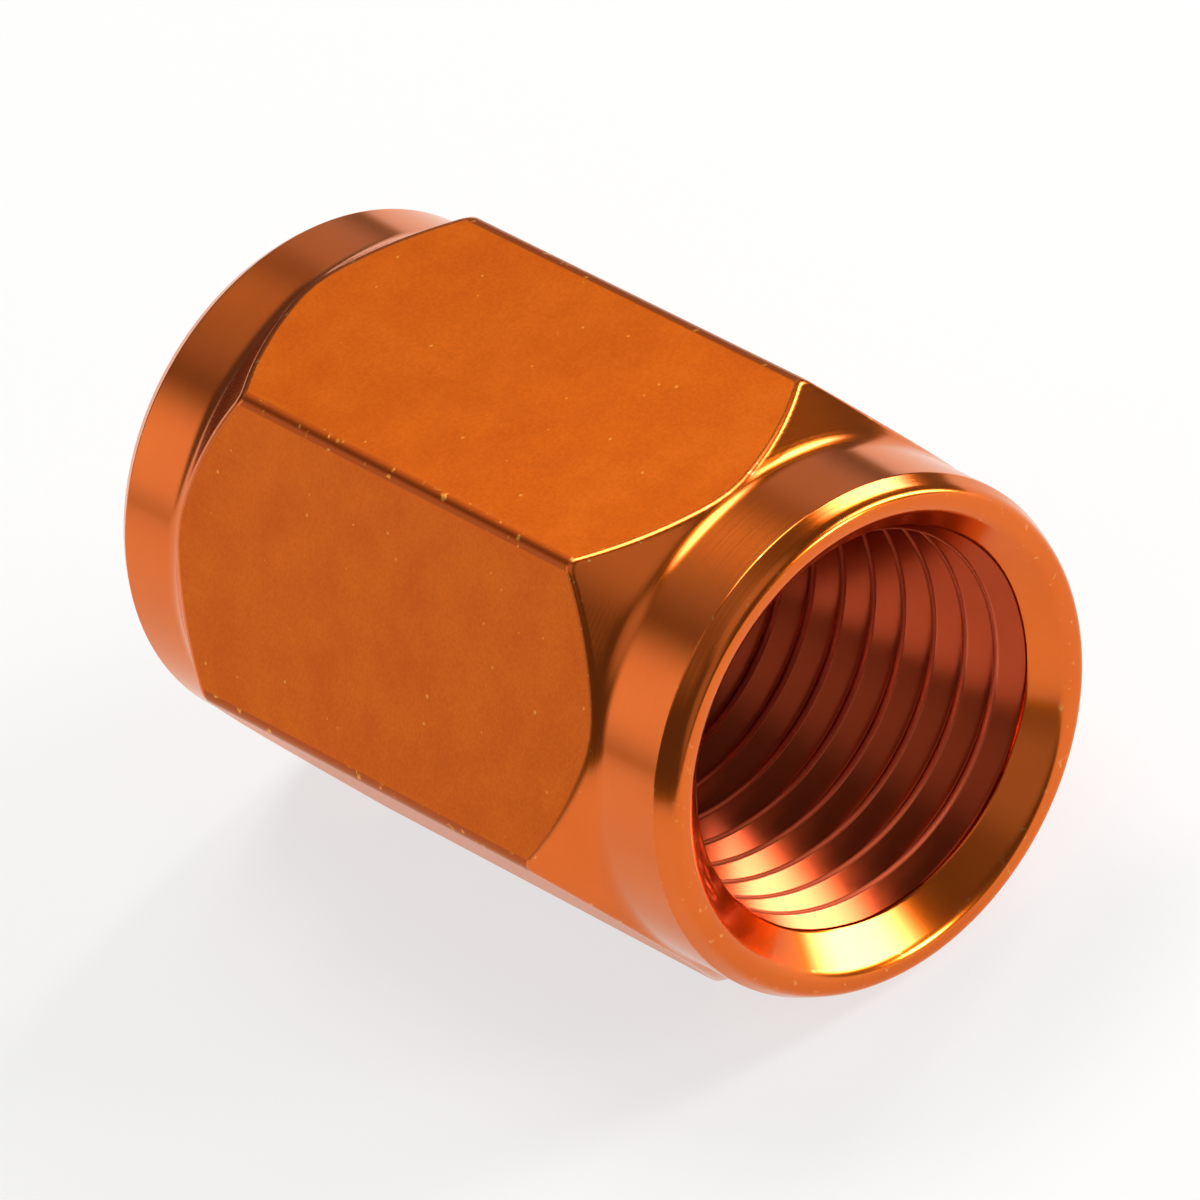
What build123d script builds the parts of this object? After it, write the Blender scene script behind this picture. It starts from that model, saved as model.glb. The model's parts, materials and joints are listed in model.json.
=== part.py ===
from build123d import *
import os
from math import cos, radians, tan

# Tyre valve cap turned from hexagonal aluminium bar, lying on one of its six flats.
# Its axis runs along X with the threaded mouth towards +X, and the origin lies on the
# surface below the middle of the cap. All lengths are in millimetres, angles in degrees.

# Valve thread of 32 threads an inch: the bore is modelled at the thread's crests,
# and the wall is the metal left between its roots and the flats of the bar
thread_crest_diameter = 7.0
thread_depth = 0.4
flat_wall = 0.85

# Drawn hexagonal bar, with slightly rounded edges
bar_sides = 6
length = 14.8
bar_edge_radius = 0.3

# Round collars turned at both ends, just under the flats, and the cones that run
# from their filleted roots out to the edges of the bar
collar_step = 0.06
mouth_collar_length = 2.0
crown_collar_length = 1.7
collar_root_radius = 0.9
shoulder_angle = 33.0

# Broken outer edges of the two ends, each as a width across the end face and a
# length along the collar
mouth_edge_width = 0.18
mouth_edge_length = 0.44
crown_edge_width = 0.18
crown_edge_length = 0.27

# Mouth: a thin flat rim around a countersink that leads into the thread
rim_width = 0.3
countersink_angle = 45.0

# Blind end: solid crown, and the relief beyond the thread that holds the washer
crown_thickness = 3.6
relief_depth = 0.1
relief_run_out = 0.2

# Flat rubber washer that seals against the end of the valve stem
washer_thickness = 1.2
washer_hole_diameter = 3.2
washer_clearance = 0.05
washer_edge_radius = 0.15

# Radii about the cap's axis
thread_crest_radius = thread_crest_diameter / 2
thread_root_radius = thread_crest_radius + thread_depth
flat_radius = thread_root_radius + flat_wall
corner_radius = flat_radius / cos(radians(180 / bar_sides))
collar_radius = flat_radius - collar_step
rim_outer_radius = collar_radius - mouth_edge_width
rim_inner_radius = rim_outer_radius - rim_width
relief_radius = thread_root_radius + relief_depth

# Depths from the mouth
countersink_depth = (rim_inner_radius - thread_crest_radius) / tan(radians(countersink_angle))
bore_depth = length - crown_thickness
washer_face_depth = bore_depth - washer_thickness
relief_depth_at_root = washer_face_depth - relief_run_out
relief_flank_length = relief_radius - thread_crest_radius
thread_end_depth = relief_depth_at_root - relief_flank_length

# The cones are turned past the bar's edges, so that they run out on every flat
cone_end_radius = corner_radius + bar_edge_radius
cone_length = (cone_end_radius - collar_radius) / tan(radians(shoulder_angle))

# Both planes start at the centre of the mouth: one lies across the bar and faces into it,
# and in the other x is the depth from the mouth and y the radius
mouth_centre = Vector(length / 2, 0, flat_radius)
across_bar = Plane(mouth_centre, x_dir=(0, 1, 0), z_dir=(-1, 0, 0))
half_section = Plane(mouth_centre, x_dir=(-1, 0, 0), z_dir=(0, 1, 0))
turning_axis = Axis(mouth_centre, (-1, 0, 0))

os.makedirs("parts", exist_ok=True)

# Cap body: a length of bar, turned to its collars and cones, then bored from the mouth
with BuildPart() as cap_body:
    with BuildSketch(across_bar):
        RegularPolygon(flat_radius, bar_sides, major_radius=False)
        fillet(vertices(), bar_edge_radius)
    extrude(amount=length)

    with BuildSketch(half_section):
        with BuildLine():
            outline = FilletPolyline(
                (0, 0),
                (0, rim_outer_radius),
                (mouth_edge_length, collar_radius),
                (mouth_collar_length, collar_radius),
                (mouth_collar_length + cone_length, cone_end_radius),
                (length - crown_collar_length - cone_length, cone_end_radius),
                (length - crown_collar_length, collar_radius),
                (length - crown_edge_length, collar_radius),
                (length, collar_radius - crown_edge_width),
                (length, 0),
                radius=[0, 0, collar_root_radius, 0, 0, collar_root_radius, 0, 0],
            )
            Line(outline @ 1, outline @ 0)
        make_face()
    revolve(axis=turning_axis, mode=Mode.INTERSECT)

    with BuildSketch(half_section):
        with BuildLine():
            Polyline(
                (0, 0),
                (0, rim_inner_radius),
                (countersink_depth, thread_crest_radius),
                (thread_end_depth, thread_crest_radius),
                (thread_end_depth + relief_flank_length, relief_radius),
                (bore_depth, relief_radius),
                (bore_depth, 0),
                close=True,
            )
        make_face()
    revolve(axis=turning_axis, mode=Mode.SUBTRACT)

cap_body.part.label = "cap_body"
export_step(cap_body.part, "parts/cap_body.step")

# Sealing washer: a rubber ring pressed through the thread onto the floor of the bore
with BuildPart() as sealing_washer:
    with BuildSketch(across_bar.offset(washer_face_depth)):
        Circle(relief_radius - washer_clearance)
        Circle(washer_hole_diameter / 2, mode=Mode.SUBTRACT)
    extrude(amount=washer_thickness)
    fillet(edges().group_by(Axis.X)[-1], washer_edge_radius)

sealing_washer.part.label = "sealing_washer"
export_step(sealing_washer.part, "parts/sealing_washer.step")
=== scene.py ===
import cmath
import json
import math

import bmesh
import bpy
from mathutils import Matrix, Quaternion, Vector


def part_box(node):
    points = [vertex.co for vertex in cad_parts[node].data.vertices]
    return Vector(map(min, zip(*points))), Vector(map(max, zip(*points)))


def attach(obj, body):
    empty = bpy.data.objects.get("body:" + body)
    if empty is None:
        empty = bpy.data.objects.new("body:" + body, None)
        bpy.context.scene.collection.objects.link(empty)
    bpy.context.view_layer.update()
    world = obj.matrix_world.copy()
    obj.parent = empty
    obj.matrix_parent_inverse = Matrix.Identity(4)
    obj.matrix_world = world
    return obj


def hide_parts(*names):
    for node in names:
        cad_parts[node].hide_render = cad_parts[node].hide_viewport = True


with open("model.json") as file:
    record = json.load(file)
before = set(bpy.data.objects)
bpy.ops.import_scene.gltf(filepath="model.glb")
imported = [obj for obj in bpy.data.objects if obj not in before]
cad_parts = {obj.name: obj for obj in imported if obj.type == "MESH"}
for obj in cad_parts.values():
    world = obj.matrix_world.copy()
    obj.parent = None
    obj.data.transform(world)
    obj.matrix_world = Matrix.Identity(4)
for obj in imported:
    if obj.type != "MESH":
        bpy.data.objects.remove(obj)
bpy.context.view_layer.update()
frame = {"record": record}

# Cap body
# One piece turned from drawn hexagonal aluminium bar and dyed orange by anodising. Both ends are
# turned to round collars with conical shoulders; the mouth is bored, countersunk and tapped.
MM = 0.001
body_low, body_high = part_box("cap_body")
washer_low, washer_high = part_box("sealing_washer")
thread_mount = next(
    mount for mount in frame["record"]["mounts"] if mount["name"] == "valve_thread"
)

crown_x = body_low.x
mouth_x = body_high.x
axis_z = (body_low.z + body_high.z) / 2
flat_radius = (body_high.z - body_low.z) / 2

bar_sides = 6
bar_edge_radius = 0.3 * MM
collar_step = 0.06 * MM
collar_radius = flat_radius - collar_step
collar_root_radius = 0.9 * MM
shoulder_angle = math.radians(33)
mouth_collar_length = 2.0 * MM
crown_collar_length = 1.7 * MM
edge_width = 0.18 * MM
mouth_edge_length = 0.44 * MM
crown_edge_length = 0.27 * MM
rim_width = 0.3 * MM
rim_outer_radius = collar_radius - edge_width
rim_inner_radius = rim_outer_radius - rim_width

# Rounding of each kind of edge, and its mark from 0 to 1: wear, and on the flats also painted shade
broken_edge = (0.1 * MM, 1.0)
run_out_edge = (0.35 * MM, 1.0)
lip_edge = (0.4 * MM, 0.5)
relief_edge = (0.1 * MM, 0.0)

inch = 25.4 * MM
threads_per_inch = 32
thread_pitch = inch / threads_per_inch
thread_depth = 0.4 * MM
crest_radius = thread_mount["dims"]["r_mm"] * MM
root_radius = crest_radius + thread_depth
relief_depth = 0.1 * MM
relief_radius = root_radius + relief_depth
bore_floor_x = washer_low.x

# The countersink and the flank of the relief both slope at 45 degrees. The thread runs from
# where the countersink is just wider than its roots to where the flank is.
thread_margin = 0.02 * MM
thread_start_depth = rim_inner_radius - root_radius - thread_margin
relief_flank_depth = mouth_x - thread_mount["pos_m"][0] + thread_mount["dims"]["length_mm"] * MM
thread_end_depth = relief_flank_depth + thread_depth + thread_margin


def bar_columns(flat_steps, edge_steps):
    """Points (angle, radius, edge wear and painted shade) round the bar, across each flat and over
    the edge that follows it. They are closer together towards the sides of a flat."""
    half_side = math.pi / bar_sides
    edge_centre = (flat_radius - bar_edge_radius) / math.cos(half_side)
    flat_half_width = (flat_radius - bar_edge_radius) * math.tan(half_side)
    points = []
    for side in range(bar_sides):
        facing = math.pi / 2 + 2 * half_side * side
        for step in range(flat_steps + 1):
            across = flat_half_width * math.sin(math.pi * (step / flat_steps - 0.5))
            angle = facing + math.atan2(across, flat_radius)
            points.append((angle, math.hypot(across, flat_radius), 0.0))
        for step in range(1, edge_steps):
            turn = half_side * (2 * step / edge_steps - 1)
            point = edge_centre + cmath.rect(bar_edge_radius, turn)
            points.append((facing + half_side + cmath.phase(point), abs(point), 1.0))
    return points


def rounded(corners, steps=5, room=0.41, hold=1.2):
    """Points (x, radius, edge wear and painted shade) along a section of plain points (x, radius)
    and of corners (x, radius, rounding, wear and painted shade). Each rounding takes a share of the
    straight stretch beside it at most, and a point on either side of it holds that stretch
    straight."""
    points = [(*corners[0][:2], 0.0)]
    for before, here, after in zip(corners, corners[1:], corners[2:]):
        if len(here) == 2:
            points.append((*here, 0.0))
            continue
        corner = Vector(here[:2])
        back = Vector(before[:2]) - corner
        onward = Vector(after[:2]) - corner
        leg = here[2] * math.tan((math.pi - back.angle(onward)) / 2)
        start = back.normalized() * min(leg, room * back.length)
        end = onward.normalized() * min(leg, room * onward.length)
        points.append((*(corner + hold * start), 0.0))
        for step in range(steps + 1):
            t = step / steps
            points.append((*(corner + (1 - t) ** 2 * start + t**2 * end), here[3]))
        points.append((*(corner + hold * end), 0.0))
    points.append((*corners[-1][:2], 0.0))
    return points


def shoulder(bar_radius, steps=14, left_out=4):
    """Points (distance past the collar, radius) up a shoulder to where it meets a bar of that
    radius: the arc at the root of the collar and, where it reaches that far, the cone. The last
    steps before the bar are left out, to make room for the rounding there."""
    rise = bar_radius - collar_radius
    arc_run = collar_root_radius * math.sin(shoulder_angle)
    arc_rise = collar_root_radius * (1 - math.cos(shoulder_angle))
    if rise < arc_rise:
        run = math.sqrt(collar_root_radius**2 - (collar_root_radius - rise) ** 2)
    else:
        run = arc_run + (rise - arc_rise) / math.tan(shoulder_angle)
    start = -collar_root_radius * math.tan(shoulder_angle / 2)
    points = []
    for step in range(steps - left_out):
        along = run * step / steps
        if along < arc_run:
            up = collar_root_radius - math.sqrt(collar_root_radius**2 - along**2)
        else:
            up = arc_rise + (along - arc_run) * math.tan(shoulder_angle)
        points.append((start + along, collar_radius + up))
    return points + [(start + run, bar_radius)]


def outside_section(bar_radius):
    """Section of the outside where the bar has that radius, from the middle of the crown to the
    end of the countersink."""
    *climb, (top_along, top_radius) = shoulder(bar_radius)
    crown_shoulder_x = crown_x + crown_collar_length
    mouth_shoulder_x = mouth_x - mouth_collar_length
    return rounded([
        (crown_x, 0.0),
        (crown_x, collar_radius - edge_width, *broken_edge),
        (crown_x + crown_edge_length, collar_radius, *broken_edge),
        *((crown_shoulder_x + along, radius) for along, radius in climb),
        (crown_shoulder_x + top_along, top_radius, *run_out_edge),
        (mouth_shoulder_x - top_along, top_radius, *run_out_edge),
        *((mouth_shoulder_x - along, radius) for along, radius in reversed(climb)),
        (mouth_x - mouth_edge_length, collar_radius, *broken_edge),
        (mouth_x, rim_outer_radius, *lip_edge),
        (mouth_x, rim_inner_radius, *lip_edge),
        (mouth_x - thread_start_depth, rim_inner_radius - thread_start_depth),
    ])


def relief_section():
    """Section of the blind end of the bore, from the end of the thread to the middle of the
    floor."""
    start_x = mouth_x - thread_end_depth
    start_radius = root_radius + thread_margin
    return rounded([
        (start_x, start_radius),
        (start_x - (relief_radius - start_radius), relief_radius, *relief_edge),
        (bore_floor_x, relief_radius, *relief_edge),
        (bore_floor_x, 0.0),
    ])


def on_bar(radius, bar_radius):
    """Whether a point of a section lies on the skin of the bar."""
    return math.isclose(radius, bar_radius, rel_tol=1e-5)


def lathe(shape, columns, sections, material_of_row):
    """Adds the skin that joins one column's section to the next, and returns its rows of vertices.
    A row on the axis is one vertex."""
    wear_and_painted_light = shape.verts.layers.float["edge_wear_and_painted_light"]
    rows = []
    for points in zip(*sections):
        row = []
        for (angle, bar_radius, bar_edge_wear_and_shade), (x, radius, worn_and_shaded) in zip(columns, points):
            if radius == 0 and row:
                row.append(row[0])
                continue
            y, z = radius * math.cos(angle), radius * math.sin(angle)
            vertex = shape.verts.new((x, y, axis_z + z))
            vertex[wear_and_painted_light] = max(worn_and_shaded, bar_edge_wear_and_shade if on_bar(radius, bar_radius) else 0.0)
            row.append(vertex)
        rows.append(row)
    for number, (row, following) in enumerate(zip(rows, rows[1:])):
        for column in range(len(columns)):
            after = (column + 1) % len(columns)
            ring = dict.fromkeys((row[column], row[after], following[after], following[column]))
            face = shape.faces.new(ring)
            face.material_index = material_of_row(number)
            face.smooth = True
    return rows


# The steps over an edge are odd in number, so that no point stands on the very top of the edge.
columns = bar_columns(flat_steps=28, edge_steps=9)
first_angle, first_radius = columns[0][:2]
outside = [outside_section(bar_radius) for angle, bar_radius, bar_edge_wear_and_shade in columns]
flat_rows = [
    row for row, (x, radius, worn_and_shaded) in enumerate(outside[0]) if on_bar(radius, first_radius)
]
DRAWN, TURNED, TAPPED = range(3)


def finish_of_row(number):
    """The flats keep the drawn skin of the bar, and the rest of the outside is turned."""
    return DRAWN if flat_rows[0] <= number < flat_rows[-1] else TURNED


shape = bmesh.new()
shape.verts.layers.float.new("edge_wear_and_painted_light")
outside_rows = lathe(shape, columns, outside, finish_of_row)
lathe(shape, columns, [relief_section()] * len(columns), lambda number: TURNED)


def linear(hex_colour):
    """The linear colour of an sRGB hex value."""
    channels = [int(hex_colour[place:place + 2], 16) / 255 for place in (1, 3, 5)]
    return (*(c / 12.92 if c <= 0.04045 else ((c + 0.055) / 1.055) ** 2.4 for c in channels), 1.0)


def add_node(tree, kind, inputs=None, **settings):
    """Adds a node with its settings, and sets its inputs or links them to another node's socket."""
    node = tree.nodes.new(kind)
    for name, value in settings.items():
        setattr(node, name, value)
    for key, value in (inputs or {}).items():
        if isinstance(value, bpy.types.Node):
            value = value.outputs[0]
        if isinstance(value, bpy.types.NodeSocket):
            tree.links.new(value, node.inputs[key])
        else:
            node.inputs[key].default_value = value
    return node


def new_material(name):
    """A node material, and its tree, which is still empty."""
    material = bpy.data.materials.new(name)
    material.use_nodes = True
    material.node_tree.nodes.clear()
    return material, material.node_tree


# Anodised aluminium as drawn: the flats keep the satin skin of the bar. The eye sees an even deep
# orange, faintly mottled, with small pale specks, and pale nicks on the edges. The edges are also
# coloured darker, as painted shade for the dark line that they mirror. Scratches along the bar vary
# the gloss a little. They and the grain of the real skin are too fine to show, and are drawn
# coarser.
drawn, tree = new_material("anodised_aluminium_drawn")
scratch_length = 2.5 * MM
scratch_width = 0.05 * MM
mottle_size = 0.9 * MM
grain_size = 0.06 * MM
grain_height = 0.008 * MM
speck_spacing = 0.3 * MM
nick_size = 0.2 * MM
oxide_ior = 1.6
place = add_node(tree, "ShaderNodeTexCoord").outputs["Object"]
scratch_place = add_node(tree, "ShaderNodeMapping", {
    "Vector": place, "Scale": (1 / scratch_length, 1 / scratch_width, 1 / scratch_width),
})
scratches = add_node(tree, "ShaderNodeTexNoise", {
    "Vector": scratch_place, "Scale": 1.0, "Detail": 2.0,
})
mottle = add_node(tree, "ShaderNodeTexNoise", {
    "Vector": place, "Scale": 1 / mottle_size, "Detail": 5.0,
})
grain = add_node(tree, "ShaderNodeTexNoise", {
    "Vector": place, "Scale": 1 / grain_size, "Detail": 2.0,
})
tone = add_node(tree, "ShaderNodeMath", {
    0: mottle.outputs["Fac"], 1: grain.outputs["Fac"],
}, operation="ADD")
tone = add_node(tree, "ShaderNodeMapRange", {"Value": tone, "From Min": 0.7, "From Max": 1.3})
base_tint = add_node(tree, "ShaderNodeMix", {
    "Factor": tone, "A": linear("#D65C07"), "B": linear("#E66C0C"),
}, data_type="RGBA")
specks = add_node(tree, "ShaderNodeTexVoronoi", {"Vector": place, "Scale": 1 / speck_spacing})
speck_pick = add_node(tree, "ShaderNodeSeparateColor", {"Color": specks.outputs["Color"]})
speck_size = add_node(tree, "ShaderNodeMapRange", {
    "Value": speck_pick, "From Min": 0.6, "From Max": 1.0, "To Min": 0.0, "To Max": 0.14,
})
speck = add_node(tree, "ShaderNodeMath", {
    0: specks.outputs["Distance"], 1: speck_size,
}, operation="LESS_THAN")
speckled = add_node(tree, "ShaderNodeMix", {
    "Factor": speck, "A": base_tint.outputs["Result"], "B": linear("#F29A38"),
}, data_type="RGBA")
wear_and_painted_light = add_node(tree, "ShaderNodeAttribute", attribute_name="edge_wear_and_painted_light").outputs["Fac"]
# Painted shade: the edges are coloured darker than the flats, for the dark line that they mirror.
edge_painted_shade = add_node(tree, "ShaderNodeMix", {
    "Factor": wear_and_painted_light, "A": speckled.outputs["Result"], "B": linear("#AE4805"),
}, data_type="RGBA")
nicks = add_node(tree, "ShaderNodeTexNoise", {
    "Vector": place, "Scale": 1 / nick_size, "Detail": 3.0,
})
nicks = add_node(tree, "ShaderNodeMapRange", {
    "Value": nicks.outputs["Fac"], "From Min": 0.63, "From Max": 0.72,
})
nicks = add_node(tree, "ShaderNodeMath", {0: nicks, 1: wear_and_painted_light}, operation="MULTIPLY")
colour = add_node(tree, "ShaderNodeMix", {
    "Factor": nicks, "A": edge_painted_shade.outputs["Result"], "B": linear("#F29E3C"),
}, data_type="RGBA")
rough = add_node(tree, "ShaderNodeMapRange", {
    "Value": scratches.outputs["Fac"], "From Min": 0.2, "From Max": 0.8,
    "To Min": 0.295, "To Max": 0.315,
})
bump = add_node(tree, "ShaderNodeBump", {
    "Height": grain.outputs["Fac"], "Strength": 0.12, "Distance": grain_height,
})
shader = add_node(tree, "ShaderNodeBsdfPrincipled", {
    "Base Color": colour.outputs["Result"], "Metallic": 1.0, "Roughness": rough, "Normal": bump,
    "Specular Tint": linear("#FFE9D0"),
    "Coat Weight": 0.18, "Coat Roughness": 0.2, "Coat IOR": oxide_ior,
})
add_node(tree, "ShaderNodeOutputMaterial", {"Surface": shader})

# Anodised aluminium as turned: glossier than the flats, so that the collars show soft bands of
# light and dark. The tool's feed left rings, which catch the light on the cones and chamfers and
# were rubbed down on the collars and the crown. The real rings are too fine to show, and these
# are drawn coarser.
turned, tree = new_material("anodised_aluminium_turned")
ring_spacing = 0.12 * MM
ring_grain_size = 0.05 * MM
ring_depth = 0.004 * MM
ring_weight = 0.35
patch_size = 1.2 * MM
nick_size = 0.18 * MM
place = add_node(tree, "ShaderNodeTexCoord").outputs["Object"]
from_axis = add_node(tree, "ShaderNodeVectorMath", {
    0: place, 1: (0.0, 0.0, axis_z),
}, operation="SUBTRACT")
across = add_node(tree, "ShaderNodeVectorMath", {
    0: from_axis, 1: (0.0, 1.0, 1.0),
}, operation="MULTIPLY")
radius = add_node(tree, "ShaderNodeVectorMath", {0: across}, operation="LENGTH").outputs["Value"]
along = add_node(tree, "ShaderNodeSeparateXYZ", {0: place}).outputs["X"]
along = add_node(tree, "ShaderNodeMath", {0: along}, operation="ABSOLUTE")
feed_path = add_node(tree, "ShaderNodeMath", {0: along, 1: radius}, operation="SUBTRACT")
rings = add_node(tree, "ShaderNodeMath", {
    0: feed_path, 1: 2 * math.pi / ring_spacing,
}, operation="MULTIPLY")
rings = add_node(tree, "ShaderNodeMath", {0: rings}, operation="SINE")
ring_grain = add_node(tree, "ShaderNodeMath", {
    0: feed_path, 1: 1 / ring_grain_size,
}, operation="MULTIPLY")
ring_grain = add_node(tree, "ShaderNodeTexNoise", {
    "W": ring_grain, "Scale": 1.0, "Detail": 2.0,
}, noise_dimensions="1D")

# The rings are highest on surfaces that slope about as the cones do, and lowest on those that lie
# along the axis or square to it.
facing = add_node(tree, "ShaderNodeNewGeometry").outputs["Normal"]
facing = add_node(tree, "ShaderNodeSeparateXYZ", {0: facing}).outputs["X"]
facing = add_node(tree, "ShaderNodeMath", {0: facing}, operation="ABSOLUTE")
slope = add_node(tree, "ShaderNodeMath", {0: facing, 1: 0.5}, operation="PINGPONG")
ring_height = add_node(tree, "ShaderNodeMapRange", {
    "Value": slope, "From Min": 0.0, "From Max": 0.5, "To Min": 0.12, "To Max": 1.0,
})
relief = add_node(tree, "ShaderNodeMath", {
    0: rings, 1: ring_weight, 2: ring_grain.outputs["Fac"],
}, operation="MULTIPLY_ADD")
relief = add_node(tree, "ShaderNodeMath", {0: relief, 1: ring_height}, operation="MULTIPLY")
bump = add_node(tree, "ShaderNodeBump", {
    "Height": relief, "Strength": 0.12, "Distance": ring_depth,
})
patches = add_node(tree, "ShaderNodeTexNoise", {
    "Vector": place, "Scale": 1 / patch_size, "Detail": 4.0,
})
base_tint = add_node(tree, "ShaderNodeMix", {
    "Factor": patches.outputs["Fac"], "A": linear("#DA5F07"), "B": linear("#E66C0E"),
}, data_type="RGBA")
wear_and_painted_light = add_node(tree, "ShaderNodeAttribute", attribute_name="edge_wear_and_painted_light").outputs["Fac"]
nicks = add_node(tree, "ShaderNodeTexNoise", {
    "Vector": place, "Scale": 1 / nick_size, "Detail": 3.0,
})
nicks = add_node(tree, "ShaderNodeMapRange", {
    "Value": nicks.outputs["Fac"], "From Min": 0.64, "From Max": 0.72,
})
nicks = add_node(tree, "ShaderNodeMath", {0: nicks, 1: wear_and_painted_light}, operation="MULTIPLY")
colour = add_node(tree, "ShaderNodeMix", {
    "Factor": nicks, "A": base_tint.outputs["Result"], "B": linear("#F5AE66"),
}, data_type="RGBA")
rough = add_node(tree, "ShaderNodeMapRange", {
    "Value": ring_grain.outputs["Fac"], "To Min": 0.14, "To Max": 0.24,
})
shader = add_node(tree, "ShaderNodeBsdfPrincipled", {
    "Base Color": colour.outputs["Result"], "Metallic": 1.0, "Roughness": rough, "Normal": bump,
    "Specular Tint": linear("#FFE9D0"),
    "Coat Weight": 0.4, "Coat Roughness": 0.1, "Coat IOR": oxide_ior,
})
add_node(tree, "ShaderNodeOutputMaterial", {"Surface": shader})

# Anodised aluminium as tapped. Its colour is a deep red, darker than the dye outside: painted
# shade for the dim depth of the bore. The crests are paler and scatter more light than they
# mirror, so that each turn shows as a pale line: partly rubbed wear, partly a painted highlight.
tapped, tree = new_material("anodised_aluminium_tapped_painted_light")
patch_size = 0.4 * MM
place = add_node(tree, "ShaderNodeTexCoord").outputs["Object"]
patches = add_node(tree, "ShaderNodeTexNoise", {
    "Vector": place, "Scale": 1 / patch_size, "Detail": 4.0,
})
# Painted shade: a deep red in place of the outside's orange, for the dim depth of the bore.
base_tint = add_node(tree, "ShaderNodeMix", {
    "Factor": patches.outputs["Fac"], "A": linear("#A4360E"), "B": linear("#B04010"),
}, data_type="RGBA")
wear_and_painted_light = add_node(tree, "ShaderNodeAttribute", attribute_name="edge_wear_and_painted_light").outputs["Fac"]
# Pale crests: partly wear, partly a painted highlight, which marks each turn with a pale line.
colour = add_node(tree, "ShaderNodeMix", {
    "Factor": wear_and_painted_light, "A": base_tint.outputs["Result"], "B": linear("#FF7A50"),
}, data_type="RGBA")
metallic = add_node(tree, "ShaderNodeMapRange", {"Value": wear_and_painted_light, "To Min": 1.0, "To Max": 0.2})
rough = add_node(tree, "ShaderNodeMapRange", {
    "Value": patches.outputs["Fac"], "To Min": 0.17, "To Max": 0.25,
})
shader = add_node(tree, "ShaderNodeBsdfPrincipled", {
    "Base Color": colour.outputs["Result"], "Metallic": metallic, "Roughness": rough,
    "Specular Tint": linear("#FFD09C"),
    "Coat Weight": 0.25, "Coat Roughness": 0.18, "Coat IOR": oxide_ior,
})
add_node(tree, "ShaderNodeOutputMaterial", {"Surface": shader})

# Valve thread: a right-handed ridge wound from the relief to the countersink, one pitch a turn.
# The tree lays a strip one pitch wide along the helix, over the columns of the ring that it
# starts from, and where the countersink or the relief is wider it follows that instead.
thread_length = thread_end_depth - thread_start_depth
weld_distance = 0.0005 * MM
ridge_tolerance = 0.001 * MM
thread_sizes = {
    "Columns": ("NodeSocketInt", len(columns)),
    "Steps": ("NodeSocketInt", 20),
    "Turns": ("NodeSocketInt", math.ceil(thread_length / thread_pitch) + 1),
    "Pitch": ("NodeSocketFloat", thread_pitch),
    "Crest Radius": ("NodeSocketFloat", crest_radius),
    "Root Radius": ("NodeSocketFloat", root_radius),
    "Crest Share": ("NodeSocketFloat", 0.1),
    "Pale Crest Share": ("NodeSocketFloat", 0.2),
    "Start Depth": ("NodeSocketFloat", thread_start_depth),
    "End Depth": ("NodeSocketFloat", thread_end_depth),
    "Countersink Radius": ("NodeSocketFloat", rim_inner_radius),
    "Relief Flank Depth": ("NodeSocketFloat", relief_flank_depth),
    "Mouth": ("NodeSocketFloat", mouth_x),
    "Axis Height": ("NodeSocketFloat", axis_z),
    "Finish": ("NodeSocketMaterial", tapped),
}
tree = bpy.data.node_groups.new("valve_thread", "GeometryNodeTree")
tree.interface.new_socket("Geometry", in_out="INPUT", socket_type="NodeSocketGeometry")
tree.interface.new_socket("Geometry", in_out="OUTPUT", socket_type="NodeSocketGeometry")
for name, (socket_type, value) in thread_sizes.items():
    tree.interface.new_socket(name, in_out="INPUT", socket_type=socket_type)

# The strip has a station at each column of each turn, and steps across it.
sizes = add_node(tree, "NodeGroupInput").outputs
index = add_node(tree, "GeometryNodeInputIndex")
strip_width = add_node(tree, "FunctionNodeIntegerMath", {
    0: sizes["Steps"], 1: 1,
}, operation="ADD")
strip_length = add_node(tree, "FunctionNodeIntegerMath", {
    0: sizes["Columns"], 1: sizes["Turns"], 2: 1,
}, operation="MULTIPLY_ADD")
strip = add_node(tree, "GeometryNodeMeshGrid", {
    "Vertices X": strip_length, "Vertices Y": strip_width,
})
station = add_node(tree, "FunctionNodeIntegerMath", {
    0: index, 1: strip_width,
}, operation="DIVIDE_FLOOR")
step = add_node(tree, "FunctionNodeIntegerMath", {0: index, 1: strip_width}, operation="MODULO")
column = add_node(tree, "FunctionNodeIntegerMath", {
    0: station, 1: sizes["Columns"],
}, operation="MODULO")
lap = add_node(tree, "FunctionNodeIntegerMath", {
    0: station, 1: sizes["Columns"],
}, operation="DIVIDE_FLOOR")
ring_place = add_node(tree, "GeometryNodeInputPosition")
ring_place = add_node(tree, "GeometryNodeSampleIndex", {
    "Geometry": sizes["Geometry"], "Value": ring_place, "Index": column,
}, data_type="FLOAT_VECTOR")
ring_turn = add_node(tree, "GeometryNodeInputNamedAttribute", {"Name": "turn"}, data_type="FLOAT")
ring_turn = add_node(tree, "GeometryNodeSampleIndex", {
    "Geometry": sizes["Geometry"], "Value": ring_turn, "Index": column,
}, data_type="FLOAT")
turns = add_node(tree, "ShaderNodeMath", {0: lap, 1: ring_turn}, operation="ADD")

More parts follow.
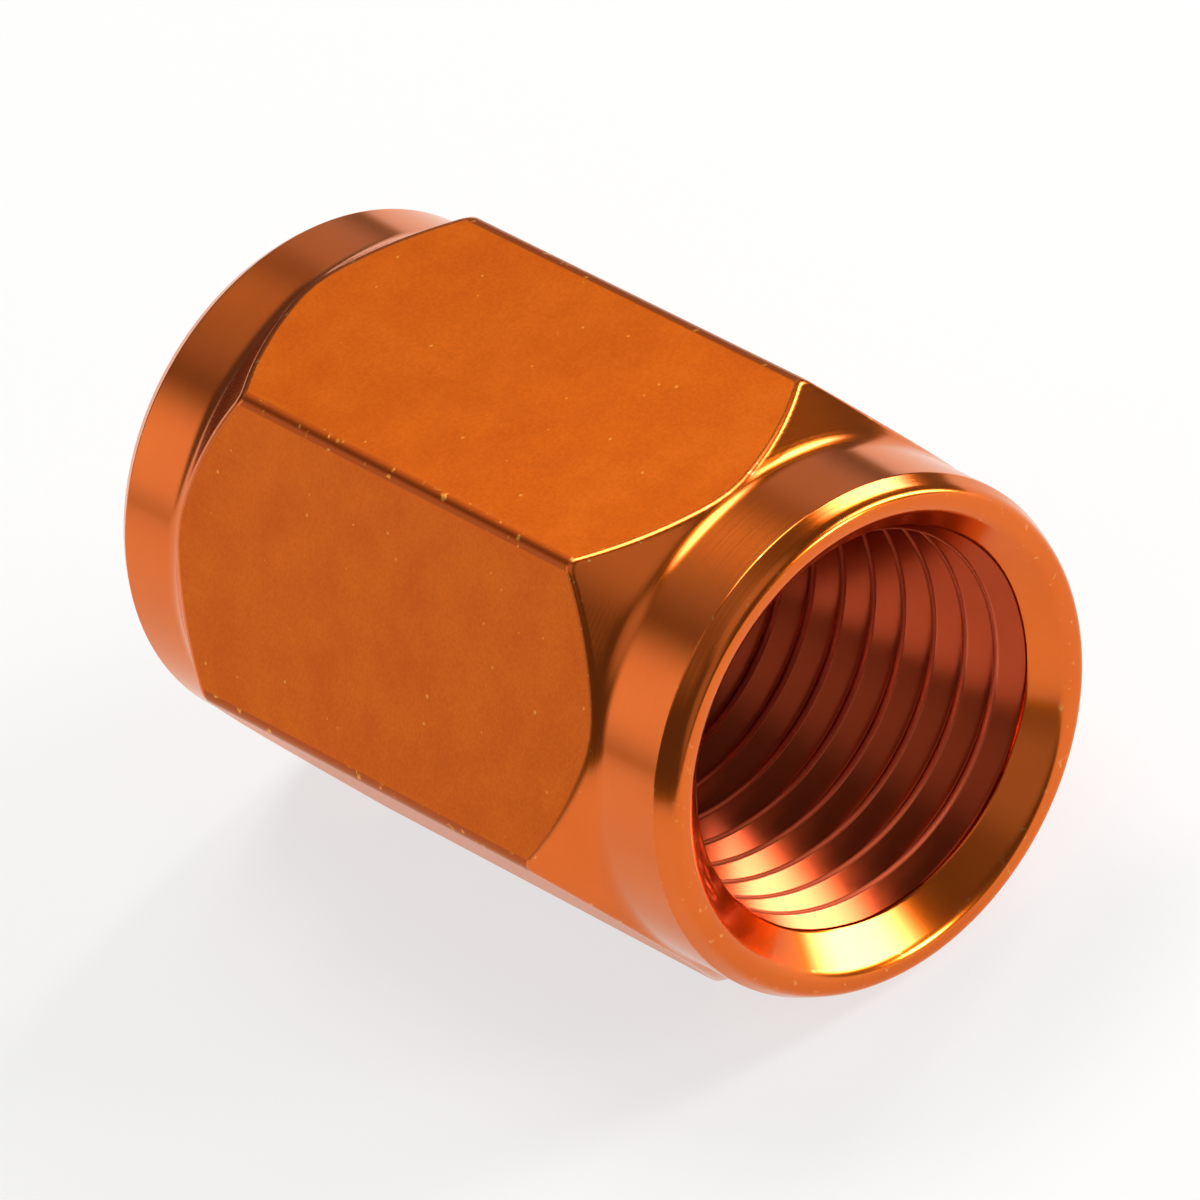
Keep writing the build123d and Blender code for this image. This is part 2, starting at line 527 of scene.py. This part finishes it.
# Each point has a depth from the mouth, and a place on the ridge from 0 on the crest to 1 in the
# root. The two together give its distance from the axis.
share = add_node(tree, "ShaderNodeMath", {0: step, 1: sizes["Steps"]}, operation="DIVIDE")
pitches = add_node(tree, "ShaderNodeMath", {0: share, 1: turns}, operation="SUBTRACT")
depth = add_node(tree, "ShaderNodeMath", {
    0: pitches, 1: sizes["Pitch"], 2: sizes["End Depth"],
}, operation="MULTIPLY_ADD")
depth = add_node(tree, "ShaderNodeClamp", {
    "Value": depth, "Min": sizes["Start Depth"], "Max": sizes["End Depth"],
})
phase = add_node(tree, "ShaderNodeMath", {0: depth, 1: sizes["End Depth"]}, operation="SUBTRACT")
phase = add_node(tree, "ShaderNodeMath", {0: phase, 1: sizes["Pitch"]}, operation="DIVIDE")
phase = add_node(tree, "ShaderNodeMath", {0: phase, 1: turns}, operation="ADD")
from_crest = add_node(tree, "ShaderNodeMath", {0: phase, 1: 0.5}, operation="PINGPONG")
from_crest = add_node(tree, "ShaderNodeMath", {0: from_crest, 1: 2.0}, operation="MULTIPLY")
ridge = add_node(tree, "ShaderNodeMapRange", {
    "Value": from_crest, "From Min": sizes["Crest Share"], "From Max": 1.0,
    "To Min": sizes["Crest Radius"], "To Max": sizes["Root Radius"],
})
countersink = add_node(tree, "ShaderNodeMath", {
    0: sizes["Countersink Radius"], 1: depth,
}, operation="SUBTRACT")
flank = add_node(tree, "ShaderNodeMath", {
    0: depth, 1: sizes["Relief Flank Depth"],
}, operation="SUBTRACT")
flank = add_node(tree, "ShaderNodeMath", {0: flank, 1: sizes["Crest Radius"]}, operation="ADD")
reach = add_node(tree, "ShaderNodeMath", {0: ridge, 1: countersink}, operation="MAXIMUM")
reach = add_node(tree, "ShaderNodeMath", {0: reach, 1: flank}, operation="MAXIMUM")

axis = add_node(tree, "ShaderNodeCombineXYZ", {"Z": sizes["Axis Height"]})
outward = add_node(tree, "ShaderNodeVectorMath", {0: ring_place, 1: axis}, operation="SUBTRACT")
outward = add_node(tree, "ShaderNodeVectorMath", {
    0: outward, 1: (0.0, 1.0, 1.0),
}, operation="MULTIPLY")
outward = add_node(tree, "ShaderNodeVectorMath", {0: outward}, operation="NORMALIZE")
outward = add_node(tree, "ShaderNodeVectorMath", {
    0: outward, "Scale": reach,
}, operation="SCALE")
inward_x = add_node(tree, "ShaderNodeMath", {0: sizes["Mouth"], 1: depth}, operation="SUBTRACT")
centre = add_node(tree, "ShaderNodeCombineXYZ", {"X": inward_x, "Z": sizes["Axis Height"]})
position = add_node(tree, "ShaderNodeVectorMath", {0: centre, 1: outward}, operation="ADD")
wound = add_node(tree, "GeometryNodeSetPosition", {"Geometry": strip, "Position": position})

# Only the crests are paler, partly from wear and partly as a painted highlight, and not where the
# strip follows the countersink or the relief.
crest_wear_and_highlight = add_node(tree, "ShaderNodeMapRange", {
    "Value": from_crest, "From Min": sizes["Crest Share"], "From Max": sizes["Pale Crest Share"],
    "To Min": 1.0, "To Max": 0.0,
})
on_ridge = add_node(tree, "ShaderNodeMath", {
    0: ridge, 1: reach, 2: ridge_tolerance,
}, operation="COMPARE")
crest_wear_and_highlight = add_node(tree, "ShaderNodeMath", {0: crest_wear_and_highlight, 1: on_ridge}, operation="MULTIPLY")
wound = add_node(tree, "GeometryNodeStoreNamedAttribute", {
    "Geometry": wound, "Name": "edge_wear_and_painted_light", "Value": crest_wear_and_highlight,
}, data_type="FLOAT", domain="POINT")
wound = add_node(tree, "GeometryNodeMergeByDistance", {
    "Geometry": wound, "Distance": weld_distance,
})
wound = add_node(tree, "GeometryNodeRealizeInstances", {"Geometry": wound})
wound = add_node(tree, "GeometryNodeSetMaterial", {
    "Geometry": wound, "Material": sizes["Finish"],
})
add_node(tree, "NodeGroupOutput", {"Geometry": wound})

thread_ring = bpy.data.meshes.new("thread_ring")
thread_ring.from_pydata([vertex.co[:] for vertex in outside_rows[-1]], [], [])
ring_turns = thread_ring.attributes.new("turn", "FLOAT", "POINT")
ring_turns.data.foreach_set("value", [
    (angle - first_angle) / (2 * math.pi) for angle, bar_radius, bar_edge_wear_and_shade in columns
])
thread = bpy.data.objects.new("thread", thread_ring)
bpy.context.scene.collection.objects.link(thread)
winding = thread.modifiers.new("winding", "NODES")
winding.node_group = tree
for socket in tree.interface.items_tree:
    if socket.in_out == "INPUT" and socket.name in thread_sizes:
        socket_type, value = thread_sizes[socket.name]
        winding[socket.identifier] = value
wound_thread = thread.evaluated_get(bpy.context.evaluated_depsgraph_get())
thread_mesh = bpy.data.meshes.new_from_object(wound_thread)
bpy.data.objects.remove(thread)

# The thread closes the gap between the countersink and the relief, which makes one solid skin.
# Where the strip follows the countersink, it has the turned finish of the countersink.
countersink_tolerance = 0.01 * MM
sliver_length = 0.0001 * MM
faces_before_thread = len(shape.faces)
shape.from_mesh(thread_mesh)
shape.faces.ensure_lookup_table()
for face in shape.faces[faces_before_thread:]:
    x, y, z = face.calc_center_median()
    off_countersink = math.hypot(y, z - axis_z) + mouth_x - x - rim_inner_radius
    countersunk = abs(off_countersink) < countersink_tolerance
    face.material_index = TURNED if countersunk else TAPPED
    face.smooth = True
bmesh.ops.remove_doubles(shape, verts=shape.verts, dist=weld_distance)
bmesh.ops.dissolve_degenerate(shape, edges=shape.edges, dist=sliver_length)
bmesh.ops.recalc_face_normals(shape, faces=shape.faces)
cap_mesh = bpy.data.meshes.new("turned_cap")
shape.to_mesh(cap_mesh)
shape.free()
for finish in (drawn, turned, tapped):
    cap_mesh.materials.append(finish)
cap = bpy.data.objects.new("turned_cap", cap_mesh)
bpy.context.scene.collection.objects.link(cap)
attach(cap, "root")
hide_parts("cap_body")

# Sealing washer
# A flat ring of black nitrile rubber, moulded, and pushed through the thread into the relief at
# the blind end, where it seals on the end of the valve stem.
washer_radius = (washer_high.z - washer_low.z) / 2
washer_hole_radius = 1.6 * MM
washer_middle = (washer_radius + washer_hole_radius) / 2
washer_edge = (0.15 * MM, 0.0)
washer_section = rounded([
    (washer_low.x, washer_middle),
    (washer_low.x, washer_radius, *washer_edge),
    (washer_high.x, washer_radius, *washer_edge),
    (washer_high.x, washer_hole_radius, *washer_edge),
    (washer_low.x, washer_hole_radius, *washer_edge),
    (washer_low.x, washer_middle),
])
shape = bmesh.new()
shape.verts.layers.float.new("edge_wear_and_painted_light")
lathe(shape, columns, [washer_section] * len(columns), lambda number: 0)
bmesh.ops.remove_doubles(shape, verts=shape.verts, dist=weld_distance)
bmesh.ops.recalc_face_normals(shape, faces=shape.faces)
washer_mesh = bpy.data.meshes.new("rubber_washer")
shape.to_mesh(washer_mesh)
shape.free()

# Nitrile rubber as moulded: a dull black with a faint grey bloom, and a grain from the mould. The
# real grain is too fine to show, and is drawn coarser.
rubber, tree = new_material("nitrile_rubber_moulded")
bloom_size = 0.6 * MM
grain_size = 0.08 * MM
grain_height = 0.01 * MM
place = add_node(tree, "ShaderNodeTexCoord").outputs["Object"]
bloom = add_node(tree, "ShaderNodeTexNoise", {
    "Vector": place, "Scale": 1 / bloom_size, "Detail": 4.0,
})
colour = add_node(tree, "ShaderNodeMix", {
    "Factor": bloom.outputs["Fac"], "A": linear("#1A1919"), "B": linear("#2C2A29"),
}, data_type="RGBA")
grain = add_node(tree, "ShaderNodeTexNoise", {
    "Vector": place, "Scale": 1 / grain_size, "Detail": 3.0,
})
bump = add_node(tree, "ShaderNodeBump", {
    "Height": grain.outputs["Fac"], "Strength": 0.4, "Distance": grain_height,
})
shader = add_node(tree, "ShaderNodeBsdfPrincipled", {
    "Base Color": colour.outputs["Result"], "Roughness": 0.65, "IOR": 1.52, "Normal": bump,
})
add_node(tree, "ShaderNodeOutputMaterial", {"Surface": shader})
washer_mesh.materials.append(rubber)
washer = bpy.data.objects.new("rubber_washer", washer_mesh)
bpy.context.scene.collection.objects.link(washer)
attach(washer, "root")
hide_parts("sealing_washer")

# Floor
# A plain sheet of white card under the cap, matt and large enough to fill every view. It lies a
# hair below the flat that the cap rests on, so that the two surfaces don't coincide.
floor_reach = 3.0
floor_drop = 0.01 * MM
floor_z = body_low.z - floor_drop
floor_mesh = bpy.data.meshes.new("floor")
floor_mesh.from_pydata([
    (-floor_reach, -floor_reach, floor_z),
    (floor_reach, -floor_reach, floor_z),
    (floor_reach, floor_reach, floor_z),
    (-floor_reach, floor_reach, floor_z),
], [], [(0, 1, 2, 3)])

# White card: matt and nearly white. Seen directly or in a mirror it is mostly an even white glow,
# so that the background stays pale and the cap's shadow soft. The glow isn't used as a lamp.
card, tree = new_material("white_card")
glow_share = 0.7
shader = add_node(tree, "ShaderNodeBsdfPrincipled", {
    "Base Color": linear("#DEDDDB"), "Roughness": 0.9,
})
rays = add_node(tree, "ShaderNodeLightPath").outputs
seen = add_node(tree, "ShaderNodeMath", {
    0: rays["Is Camera Ray"], 1: rays["Is Glossy Ray"],
}, operation="MAXIMUM")
seen = add_node(tree, "ShaderNodeMath", {
    0: seen, 1: rays["Is Transmission Ray"],
}, operation="MAXIMUM")
glow = add_node(tree, "ShaderNodeMath", {0: seen, 1: glow_share}, operation="MULTIPLY")
white = add_node(tree, "ShaderNodeEmission", {"Strength": 1.0})
glowing = add_node(tree, "ShaderNodeMixShader", {0: glow, 1: shader, 2: white})
add_node(tree, "ShaderNodeOutputMaterial", {"Surface": glowing})
card.cycles.emission_sampling = "NONE"
floor_mesh.materials.append(card)
floor = bpy.data.objects.new("floor", floor_mesh)
bpy.context.scene.collection.objects.link(floor)

# Studio light
# Soft boxes round a dim room. Four bright ones give the highlights: beside the mouth, in front
# shining into the bore, above the shoulders and behind on the right. Six dim ones, which are
# larger, give the flats and collars their tone. Angles are in degrees, as seen from the cap.
cap_middle = (body_low + body_high) / 2
lamp_distance = 0.4
soft_boxes = {
    "mouth_light": dict(toward=(0.46, 0.81, 0.35), half_angles=(9, 27), turn=42, brightness=26.0),
    "bore_light": dict(toward=(0.84, 0.49, 0.24), half_angles=(9, 9), turn=0, brightness=36.0),
    "shoulder_light": dict(
        toward=(-0.42, 0.19, 0.89), half_angles=(24, 12.5), turn=28, brightness=11.5,
    ),
    "back_light": dict(toward=(-0.18, 0.78, 0.60), half_angles=(7, 24), turn=0, brightness=16.0),
    "overhead_light": dict(
        toward=(0.35, -0.15, 0.92), half_angles=(30, 30), turn=0, brightness=0.45,
    ),
    "upper_left_light": dict(
        toward=(-0.28, -0.60, 0.75), half_angles=(24, 24), turn=0, brightness=0.45,
    ),
    "left_back_light": dict(
        toward=(-0.69, 0.05, 0.72), half_angles=(30, 26), turn=0, brightness=0.28,
    ),
    "right_back_light": dict(
        toward=(-0.69, 0.62, 0.36), half_angles=(20, 20), turn=0, brightness=0.4,
    ),
    "left_light": dict(
        toward=(-0.70, -0.61, 0.32), half_angles=(22, 26), turn=0, brightness=0.95,
    ),
    "front_light": dict(
        toward=(0.70, -0.55, 0.45), half_angles=(30, 30), turn=0, brightness=0.3,
    ),
}

# Each box fades out from its middle to its sides, in shares of its width and height, so that its
# reflection has soft ends.
lamp_middle = (0.5, 0.5, 0.0)
fade_start = 0.15
fade_end = 0.5
for name, box in soft_boxes.items():
    half_width, half_height = (math.radians(angle) for angle in box["half_angles"])
    lamp = bpy.data.lights.new(name, "AREA")
    lamp.shape = "RECTANGLE"
    lamp.size = 2 * lamp_distance * math.tan(half_width)
    lamp.size_y = 2 * lamp_distance * math.tan(half_height)
    lamp.energy = math.pi * lamp.size * lamp.size_y * box["brightness"]
    lamp.use_nodes = True
    tree = lamp.node_tree
    place = add_node(tree, "ShaderNodeNewGeometry").outputs["Parametric"]
    from_middle = add_node(tree, "ShaderNodeVectorMath", {
        0: place, 1: lamp_middle,
    }, operation="DISTANCE").outputs["Value"]
    fade = add_node(tree, "ShaderNodeMapRange", {
        "Value": from_middle, "From Min": fade_start, "From Max": fade_end,
        "To Min": 1.0, "To Max": 0.0,
    }, interpolation_type="SMOOTHSTEP")
    tree.links.new(fade.outputs[0], tree.nodes["Emission"].inputs["Strength"])
    light = bpy.data.objects.new(name, lamp)
    toward = Vector(box["toward"]).normalized()
    light.location = cap_middle + toward * lamp_distance
    turn = Quaternion((0, 0, 1), math.radians(box["turn"]))
    light.rotation_euler = (toward.to_track_quat("Z", "Y") @ turn).to_euler()
    light.visible_camera = False
    bpy.context.scene.collection.objects.link(light)
world = bpy.data.worlds.new("dim_room")
world.use_nodes = True
world.node_tree.nodes["Background"].inputs["Color"].default_value = linear("#5E5E5E")
bpy.context.scene.world = world

# Camera
# The photograph's view of the cap, as fitted to the cap's edges: into the mouth from the right
# and above, a little rolled, and from far enough away for a mild perspective.
azimuth = math.radians(60.3)
elevation = math.radians(37.2)
roll = math.radians(-19.6)
camera_distance = 0.308
view_width = 20.5 * MM
back = Vector((
    math.sin(azimuth) * math.cos(elevation),
    -math.cos(azimuth) * math.cos(elevation),
    math.sin(elevation),
))
camera = bpy.data.cameras.new("camera")
camera.lens = camera.sensor_width * camera_distance / view_width
camera.clip_start = 0.01
camera_object = bpy.data.objects.new("camera", camera)
camera_object.location = cap_middle + back * camera_distance
camera_object.rotation_mode = "QUATERNION"
camera_turn = Quaternion((0, 0, 1), roll)
camera_object.rotation_quaternion = (-back).to_track_quat("-Z", "Y") @ camera_turn
bpy.context.scene.collection.objects.link(camera_object)
bpy.context.scene.camera = camera_object
bpy.context.scene.view_settings.view_transform = "Standard"
